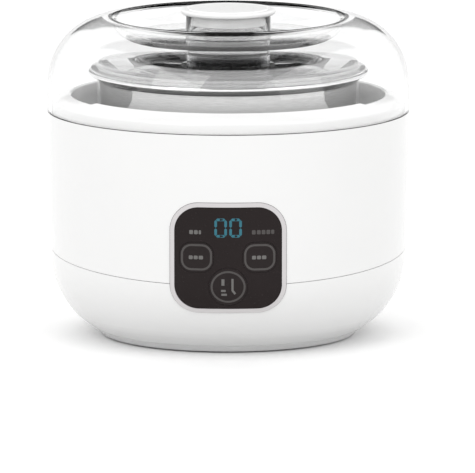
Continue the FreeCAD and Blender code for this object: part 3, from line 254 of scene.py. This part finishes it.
GIVE = {
    "upper_housing": WHITE,
    "lower_housing": WHITE,
    "top_collar": COLLAR,
    "dome_cover": DOME,
    "dome_knob": KNOB,
    "knob_disc": KNOB,
    "inner_lid": LID,
    "inner_lid_knob": LID_KNOB,
    "lid_gasket": SILICONE,
    "pot_liner": POT,
    "heating_chamber": CHAMBER,
    "heater_plate": CAST,
    "heating_element": MICA,
    "heater_clamp": STEEL,
    "heater_studs": STEEL,
    "heater_nuts": STEEL,
    "thermistor": ALU,
    "thermal_fuse": FIBRE,
    "collar_screws": STEEL,
    "base_screws": STEEL,
    "board_screws": STEEL,
    "display_screws": STEEL,
    "base_cover": BASE,
    "rubber_feet": FOOT,
    "power_board": PCB,
    "board_transformer": BLACK,
    "board_relay": BLUE,
    "board_capacitors": SLEEVE,
    "board_terminals": NYLON,
    "power_inlet": BLACK,
    "inlet_pins": BRASS,
    "panel_bezel": BEZEL,
    "panel_lens": PANEL,
    "panel_carrier": BLACK,
    "display_board": PCB,
    "digit_display": MODULE,
    "key_switches": BLACK,
    "menu_key": KEYS,
    "timer_key": KEYS,
    "power_key": KEYS,
    "heater_leads": LEAD_W,
    "inlet_leads": LEAD_B,
    "display_cable": LEAD_G,
    "sensor_lead": LEAD_W,
}
for node, material in GIVE.items():
    mesh = NODES[node].data
    mesh.materials.clear()
    mesh.materials.append(material)


# The pot is satin inside and polished outside; its inside is also darker, painted shade for the dim inside of the pot.
pot_mesh = NODES["pot_liner"].data
pot_mesh.materials.append(POT_INSIDE_PAINTED_SHADE)
for face in pot_mesh.polygons:
    r = math.hypot(face.center.x, face.center.y)
    inward = -(face.normal.x * face.center.x + face.normal.y * face.center.y) / max(r, 1e-6)
    floor_up = r < 0.0605 and face.normal.z > 0.3 and face.center.z > 0.0525
    face.material_index = 1 if floor_up or (inward > 0.3 and face.center.z > 0.0525 and r < 0.0660) else 0

# ------------------------------------------------------------------ helpers
def arc(cx, cz, r, a0, a1, n):
    return [
        (cx + r * math.cos(math.radians(a0 + (a1 - a0) * i / n)), cz + r * math.sin(math.radians(a0 + (a1 - a0) * i / n)))
        for i in range(n + 1)
    ]


def rounded(pts, n=5, even=False):
    """A closed outline; a point given as (r, z, f) gets a rounding of radius f."""
    out = []
    count = len(pts)
    for i, p in enumerate(pts):
        if len(p) < 3 or p[2] <= 0:
            out.append((p[0], p[1]))
            continue
        a, b, c = Vector(pts[i - 1][:2]), Vector(p[:2]), Vector(pts[(i + 1) % count][:2])
        u, v = (a - b).normalized(), (c - b).normalized()
        turn = math.acos(max(-1, min(1, u.dot(v))))
        reach = min(p[2] / math.tan(turn / 2), (a - b).length * 0.49, (c - b).length * 0.49)
        rad = reach * math.tan(turn / 2)
        mid = b + (u + v).normalized() * (rad / math.sin(turn / 2))
        s0, s1 = b + u * reach, b + v * reach
        t0 = math.atan2(s0.y - mid.y, s0.x - mid.x)
        t1 = math.atan2(s1.y - mid.y, s1.x - mid.x)
        d = (t1 - t0 + math.pi) % (2 * math.pi) - math.pi
        steps = n if even else n + int(abs(d) * rad * 2)
        out += [(mid.x + rad * math.cos(t0 + d * k / steps), mid.y + rad * math.sin(t0 + d * k / steps)) for k in range(steps + 1)]
    return out


def spun(name, outline, material, body, node=None, steps=256, sharp=38):
    """A closed outline in millimetres turned about the upright axis."""
    pts = []
    for r, z in outline:
        if not pts or math.hypot(r - pts[-1][0], z - pts[-1][1]) > 0.01:
            pts.append((max(0.0, r), z))
    if math.hypot(pts[0][0] - pts[-1][0], pts[0][1] - pts[-1][1]) < 0.01:
        pts.pop()
    verts, at = [], []
    for r, z in pts:
        if r < 1e-6:
            at.append([len(verts)] * steps)
            verts.append((0.0, 0.0, z * MM))
        else:
            at.append(list(range(len(verts), len(verts) + steps)))
            verts += [
                (r * MM * math.cos(2 * math.pi * k / steps), r * MM * math.sin(2 * math.pi * k / steps), z * MM)
                for k in range(steps)
            ]
    faces = []
    for i in range(len(pts)):
        a, b = at[i], at[(i + 1) % len(pts)]
        if a[0] == a[1] and b[0] == b[1]:
            continue
        for k in range(steps):
            q = (k + 1) % steps
            f = [a[k], a[q], b[q], b[k]]
            f = [v for j, v in enumerate(f) if v != f[j - 1]]
            faces.append(tuple(f))
    return solid(name, verts, faces, material, body, node, sharp)


def solid(name, verts, faces, material, body, node=None, sharp=38):
    me = bpy.data.meshes.new(name)
    me.from_pydata(verts, [], faces)
    bm = bmesh.new()
    bm.from_mesh(me)
    bmesh.ops.recalc_face_normals(bm, faces=bm.faces)
    bm.to_mesh(me)
    bm.free()
    me.shade_smooth()
    me.set_sharp_from_angle(angle=math.radians(sharp))
    me.materials.append(material)
    o = bpy.data.objects.new(name, me)
    bpy.context.scene.collection.objects.link(o)
    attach(o, body)
    if node:
        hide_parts(node)
    return o


# ------------------------------------------------------------------- dome
W = 2.2
BXZ = (92.5 - 51.44 + (51.44 - 33.18) * math.cos(math.radians(10.59)), 126.77 + (51.44 - 33.18) * math.sin(math.radians(10.59)))
CXZ = (BXZ[0] + (33.18 - 3.5) * math.cos(math.radians(88)), BXZ[1] + (33.18 - 3.5) * math.sin(math.radians(88)))
DXZ = (
    CXZ[0] + 16.7 * math.cos(math.radians(150)) - 1.2 * math.sin(math.radians(150)),
    CXZ[1] + 16.7 * math.sin(math.radians(150)) + 1.2 * math.cos(math.radians(150)),
)
FLOOR_Z = DXZ[1] - 13.2


def dome_line(d):
    """The dome's face from its seam to the dish floor, offset by d."""
    return (
        arc(41.06, 126.77, 51.44 + d, 0, 10.59, 8)
        + arc(BXZ[0], BXZ[1], 33.18 + d, 10.59, 88, 64)
        + arc(CXZ[0], CXZ[1], 3.5 + d, 88, 150, 20)
        + arc(DXZ[0], DXZ[1], 13.2 - d, -30, -90, 26)
    )


dome_pts = (
    [(90.3, 115.5), (92.1, 115.5), (92.5, 115.9)]
    + dome_line(0)
    + [(22.6, FLOOR_Z)]
    + arc(22.4, FLOOR_Z + 0.8, 0.8, 270, 180, 6)
    + arc(21.35, 164.35, 0.25, 0, 90, 4)
    + arc(20.15, 164.35, 0.25, 90, 180, 4)
    + [(19.9, FLOOR_Z), (0, FLOOR_Z), (0, FLOOR_Z - W)]
    + list(reversed(dome_line(-W)))
)
spun("dome_shell", dome_pts, DOME, "dome", "dome_cover")

# The dome's seam: a thin dark ring where its edge stands on the body, painted shade for the shadow in the gap there.
spun("dome_seam_line", rounded([(91.2, 115.3), (92.35, 115.3, 0.1), (92.35, 115.75, 0.1), (91.2, 115.75)]), PAINTED_SEAM_SHADE, "base")

# -------------------------------------------------------------- inner lid
lid_pts = rounded([
    (65.0, 136.3), (70.2, 136.3, 0.3), (70.2, 137.8, 0.6), (66.8, 137.8, 0.5), (66.8, 140.7, 2.4), (47.4, 142.3, 1.1),
    (44.6, 139.2, 1.4), (23.8, 139.2, 0.3), (23.8, 140.0, 0.4), (17.3, 140.0), (17.3, 145.4, 0.3), (15.8, 145.4, 0.3),
    (15.8, 138.6), (0, 138.6), (0, 137.0), (45.6, 137.0, 0.6), (48.8, 140.3, 0.8), (61.9, 139.15, 0.4), (61.9, 131.6, 0.5),
    (63.4, 131.6, 0.5), (63.4, 139.0, 0.4), (65.0, 138.9, 0.4),
])
spun("lid_shell", lid_pts, LID, "lid", "inner_lid", 240)
knob_pts = rounded([(19.7, 140.0), (21.3, 140.0, 0.2), (21.3, 147.0, 1.0), (0, 147.0), (0, 145.4), (19.7, 145.4, 0.5)])
spun("lid_knob_shell", knob_pts, LID_KNOB, "lid", "inner_lid_knob", 200)

# ------------------------------------------------------------------ collar
def collar():
    """The white ring round the pot: a sloped ledge with two finger recesses."""
    ledge = [
        (89.6, 112.5), (89.6, 120.82, 1.8), (79.2, 124.9, 0.9), (77.9, 123.9, 0.7), (69.5, 119.6, 0.7), (69.5, 101.2),
        (71.3, 101.2), (71.3, 118.3, 0.3), (79.2, 122.0, 0.3), (87.8, 119.12), (87.8, 112.5),
    ]
    recess = [
        (89.6, 112.5), (89.6, 120.82, 1.8), (80.9, 124.2, 0.9), (80.1, 123.4, 0.7), (80.0, 119.6, 0.7), (80.0, 101.2),
        (81.8, 101.2), (81.8, 120.0, 0.3), (83.0, 120.7, 0.3), (87.8, 119.12), (87.8, 112.5),
    ]
    at = []
    for q in range(4):
        quarter = [i * 1.5 for i in range(21)] + [31 + 0.25 * i for i in range(17)] + [35.5 + 1.5 * i for i in range(36)] + [89.2]
        at += [90 * q + a if q % 2 == 0 else 90 * (q + 1) - a for a in quarter]
    at = sorted(set(round(a % 360, 3) for a in at))
    verts, faces, m = [], [], 0
    for a in at:
        off = abs(((a + 90) % 180) - 90)
        w = min(1.0, max(0.0, (off - 31.6) / 2.2))
        w = w * w * (3 - 2 * w)
        mixed = []
        for p, q in zip(recess, ledge):
            point = [p[0] + (q[0] - p[0]) * w, p[1] + (q[1] - p[1]) * w]
            mixed.append(tuple(point + list(p[2:])))
        ring = rounded(mixed, 6, True)
        m = len(ring)
        c, sn = math.cos(math.radians(a)), math.sin(math.radians(a))
        verts += [(r * MM * c, r * MM * sn, z * MM) for r, z in ring]
    for k in range(len(at)):
        a, b = k * m, ((k + 1) % len(at)) * m
        faces += [(a + j, a + (j + 1) % m, b + (j + 1) % m, b + j) for j in range(m)]
    return solid("collar_ring", verts, faces, COLLAR, "base", "top_collar", 40)


collar()

# ------------------------------------------------------------------- panel
FRONT = {}
for node in ("panel_lens", "menu_key", "timer_key", "power_key", "panel_bezel"):
    me = NODES[node].data
    FRONT[node] = BVHTree.FromPolygons([v.co.copy() for v in me.vertices], [tuple(p.vertices) for p in me.polygons])


def on_face(node, x, z, lift):
    """A point on the front of a panel piece, in metres, lifted off its face."""
    hit, normal, _, _ = FRONT[node].ray_cast(Vector((x * MM, -0.15, z * MM)), Vector((0, 1, 0)), 0.12)
    if hit is None:
        raise RuntimeError("nothing of %s at %.1f, %.1f" % (node, x, z))
    if normal.y > 0:
        normal = -normal
    return tuple(hit + normal * lift * MM)


def stroke(node, line, width, closed=False, lift=0.05, sink=0.12):
    """A printed line: a thin closed ribbon lying on a panel piece."""
    pts = [Vector(p) for p in line]
    dense = []
    span = len(pts) if closed else len(pts) - 1
    for i in range(span):
        a, b = pts[i], pts[(i + 1) % len(pts)]
        n = max(1, int((b - a).length / 0.5))
        dense += [a.lerp(b, k / n) for k in range(n)]
    if not closed:
        dense.append(pts[-1])
    verts, faces = [], []
    n = len(dense)
    for i, p in enumerate(dense):
        a = dense[i - 1] if (closed or i > 0) else p
        b = dense[(i + 1) % n] if (closed or i < n - 1) else p
        t = (b - a).normalized()
        side = Vector((-t.y, t.x)) * width / 2
        for q in (p + side, p - side):
            verts.append(on_face(node, q.x, q.y, lift))
        for q in (p - side, p + side):
            verts.append(on_face(node, q.x, q.y, -sink))
    for i in range(n if closed else n - 1):
        a, b = 4 * i, 4 * ((i + 1) % n)
        for k in range(4):
            m = (k + 1) % 4
            faces.append((a + k, a + m, b + m, b + k))
    if not closed:
        faces.append((0, 1, 2, 3))
        faces.append(tuple(4 * (n - 1) + k for k in (3, 2, 1, 0)))
    return verts, faces


def patch(node, outline, lift=0.05, sink=0.12):
    """A printed mark: a thin closed tile lying on a panel piece."""
    n = len(outline)
    verts = [on_face(node, x, z, lift) for x, z in outline] + [on_face(node, x, z, -sink) for x, z in outline]
    faces = [tuple(range(n)), tuple(range(2 * n - 1, n - 1, -1))]
    faces += [(i, (i + 1) % n, n + (i + 1) % n, n + i) for i in range(n)]
    return verts, faces


def printed(name, parts, material, body):
    verts, faces = [], []
    for v, f in parts:
        base = len(verts)
        verts += v
        faces += [tuple(base + k for k in face) for face in f]
    return solid(name, verts, faces, material, body, sharp=30)


def pill(x, z, w, h, f=None):
    f = min(w, h) / 2 if f is None else f
    out = []
    for cx, cz, a in ((w / 2 - f, h / 2 - f, 0), (-w / 2 + f, h / 2 - f, 90), (-w / 2 + f, -h / 2 + f, 180), (w / 2 - f, -h / 2 + f, 270)):
        out += arc(x + cx, z + cz, f, a, a + 90, 6)
    return out


def digit(x, z, w, h, t, lit):
    """Seven bars; lit is a string of the bars that glow."""
    g = 0.12
    bars = {
        "a": (x, z + h / 2, w, 0), "g": (x, z, w, 0), "d": (x, z - h / 2, w, 0),
        "f": (x - w / 2, z + h / 4, h / 2, 1), "b": (x + w / 2, z + h / 4, h / 2, 1),
        "e": (x - w / 2, z - h / 4, h / 2, 1), "c": (x + w / 2, z - h / 4, h / 2, 1),
    }
    out = []
    for key in lit:
        cx, cz, length, up = bars[key]
        a, b = length / 2 - g, t / 2
        shape = [(-a, 0), (-a + b, b), (a - b, b), (a, 0), (a - b, -b), (-a + b, -b)]
        out.append([(cx + q, cz + p) if up else (cx + p, cz + q) for p, q in shape])
    return out


GLOW = Mat("digit_light")
GLOW.set(Roughness=0.4, Specular_IOR_Level=0.1, Emission_Strength=1.0)
GLOW.to("Base Color", GLOW.mix(GLOW.span(GLOW.noise(900.0), 0.0, 1.0), (0.02, 0.06, 0.08), (0.025, 0.07, 0.09)))
GLOW.to("Emission Color", GLOW.mix(GLOW.span(GLOW.noise(260.0, 2.0), 0.0, 1.0), (0.02, 0.10, 0.13), (0.028, 0.13, 0.165)))

shapes = digit(-3.75, 68.4, 5.0, 8.4, 1.35, "abcdef") + digit(3.75, 68.4, 5.0, 8.4, 1.35, "abcdef")
printed("display_digits", [patch("panel_lens", s, 0.02) for s in shapes], GLOW.m, "base")

for side, key, body in ((-1, "menu_key", "menu_button"), (1, "timer_key", "timer_button")):
    x = side * 15.9
    printed(
        key + "_ring",
        [stroke(key, pill(x, 53.3, 14.6, 12.4, 4.6), 1.05, True)],
        INK, body,
    )
    marks = [pill(x + dx, 53.2, w, 1.9, 0.5) for dx, w in ((-2.9, 2.0), (-0.4, 2.0), (2.2, 2.2))]
    printed(key + "_marks", [patch(key, m) for m in marks], INK_PALE, body)
printed(
    "power_key_ring",
    [stroke("power_key", [(8.3 * math.cos(math.radians(a)), 38.2 + 7.7 * math.sin(math.radians(a))) for a in range(0, 360, 5)], 1.0, True)],
    INK, "power_button",
)
printed(
    "power_key_mark",
    [stroke("power_key", [(-2.6, 42.2), (-2.6, 38.9)], 1.5), stroke("power_key", [(2.2, 42.4), (2.2, 36.4), (3.6, 34.6)], 1.1),
     stroke("power_key", [(-3.6, 36.2), (-1.2, 36.2)], 1.1), stroke("power_key", [(-3.4, 34.2), (-0.6, 34.2)], 1.1)],
    INK_PALE, "power_button",
)
printed(
    "lens_marks_left",
    [patch("panel_lens", pill(x, 66.1, w, 2.1, 0.5)) for x, w in ((-18.6, 1.9), (-16.2, 1.9), (-14.2, 1.2))],
    INK_PALE, "base",
)
printed(
    "lens_marks_right",
    [patch("panel_lens", pill(x, 66.1, w, 2.2, 0.5)) for x, w in ((12.9, 1.9), (15.4, 1.9), (17.8, 1.9), (20.2, 1.9), (22.4, 1.6))],
    INK, "base",
)


# ------------------------------------------------------------------- studio
def plane(name, wx, wy, material, at=(0, 0, 0), rot=(0, 0, 0)):
    me = bpy.data.meshes.new(name)
    me.from_pydata(
        [(-wx / 2, -wy / 2, 0), (wx / 2, -wy / 2, 0), (wx / 2, wy / 2, 0), (-wx / 2, wy / 2, 0)],
        [],
        [(0, 1, 2, 3)],
    )
    o = bpy.data.objects.new(name, me)
    bpy.context.scene.collection.objects.link(o)
    me.materials.append(material)
    o.location = at
    o.rotation_euler = rot
    return o


floor_mat = Mat("studio_floor")
floor_mat.set(Roughness=0.9, Specular_IOR_Level=0.0)
floor_path = floor_mat.n.new("ShaderNodeLightPath")
floor_mat.to("Base Color", floor_mat.mix(floor_path.outputs["Is Diffuse Ray"], (1.0, 1.0, 1.0), (0.675, 0.675, 0.675)))
floor = plane("studio_floor", 40, 40, floor_mat.m)


def glow(name, colour, strength):
    m = bpy.data.materials.new(name)
    m.use_nodes = True
    m.node_tree.nodes.clear()
    e = m.node_tree.nodes.new("ShaderNodeEmission")
    e.inputs[0].default_value = rgba(colour)
    e.inputs[1].default_value = strength
    out = m.node_tree.nodes.new("ShaderNodeOutputMaterial")
    m.node_tree.links.new(e.outputs[0], out.inputs[0])
    return m


def flag(name, r, z0, z1, a0, a1, material, steps=48):
    """A curved studio flag round the object, seen only in gloss and glass."""
    verts, faces = [], []
    for i in range(steps + 1):
        a = math.radians(a0 + (a1 - a0) * i / steps)
        for z in (z0, z1):
            verts.append((r * math.sin(a), r * math.cos(a), z))
    for i in range(steps):
        faces.append((2 * i, 2 * i + 1, 2 * i + 3, 2 * i + 2))
    me = bpy.data.meshes.new(name)
    me.from_pydata(verts, [], faces)
    me.materials.append(material)
    o = bpy.data.objects.new(name, me)
    bpy.context.scene.collection.objects.link(o)
    o.visible_camera = False
    o.visible_diffuse = False
    o.visible_shadow = False
    o.visible_volume_scatter = False
    return o


BLACK_CARD = glow("flag_black", (1, 1, 1), 0.012)
flag("dark_flag_back", 1.6, 0.34, 1.7, -4, 4, BLACK_CARD)
GREY_CARD = glow("flag_grey", (1, 1, 1), 0.12)
flag("grey_flag_left", 1.6, 0.34, 0.75, -17, -5.5, GREY_CARD)
flag("grey_flag_right", 1.6, 0.34, 0.75, 5.5, 17, GREY_CARD)


def strip(name, half, line, material):
    """A long dark card running from behind the object to overhead, seen only in gloss and glass."""
    verts = [(x, y, z) for y, z in line for x in (-half, half)]
    me = bpy.data.meshes.new(name)
    me.from_pydata(verts, [], [(2 * i, 2 * i + 1, 2 * i + 3, 2 * i + 2) for i in range(len(line) - 1)])
    me.materials.append(material)
    o = bpy.data.objects.new(name, me)
    bpy.context.scene.collection.objects.link(o)
    o.visible_camera = False
    o.visible_diffuse = False
    o.visible_shadow = False
    o.visible_volume_scatter = False
    return o


strip("dark_strip", 1.6, [(1.4, 1.7), (1.2, 2.1), (0.6, 2.3), (-5.0, 2.3)], BLACK_CARD)

world = bpy.data.worlds.new("studio")
bpy.context.scene.world = world
world.use_nodes = True
bg = world.node_tree.nodes["Background"]
bg.inputs[0].default_value = (1.0, 1.0, 1.0, 1.0)
bg.inputs[1].default_value = 1.0


def softbox(name, at, size, power, aim=(0, 0, 0.08)):
    light = bpy.data.lights.new(name, "AREA")
    light.shape = "RECTANGLE"
    light.size, light.size_y = size
    light.energy = power
    o = bpy.data.objects.new(name, light)
    bpy.context.scene.collection.objects.link(o)
    o.location = at
    o.rotation_euler = (Vector(aim) - Vector(at)).to_track_quat("-Z", "Y").to_euler()
    return o


softbox("key", (-1.4, -2.0, 1.6), (1.6, 1.6), 12.5)
softbox("fill", (1.8, -1.6, 1.0), (1.4, 1.4), 5.5)
softbox("top", (0.0, 0.3, 2.0), (1.4, 1.4), 5)

# ------------------------------------------------------------------- camera
cam = bpy.data.cameras.new("camera")
cam_o = bpy.data.objects.new("camera", cam)
bpy.context.scene.collection.objects.link(cam_o)
cam.sensor_width = 36.0
cam.lens = 739.4
cam.clip_start, cam.clip_end = 0.5, 60
EL = math.radians(9.0)
up = Vector((0, math.sin(EL), math.cos(EL)))
look = Vector((0, math.cos(EL), -math.sin(EL)))
target = up * (95.5 * 0.51247 * MM) + Vector((9.2 * 0.51247 * MM, 0, 0))
cam_o.location = target - look * 5.0
cam_o.rotation_mode = "QUATERNION"
cam_o.rotation_quaternion = look.to_track_quat("-Z", "Y")
bpy.context.scene.camera = cam_o

view = bpy.context.scene.view_settings
view.view_transform = "Standard"
view.look = "None"
view.exposure = 0.0

# ------------------------------------------------------------------- finish
bpy.context.view_layer.update()
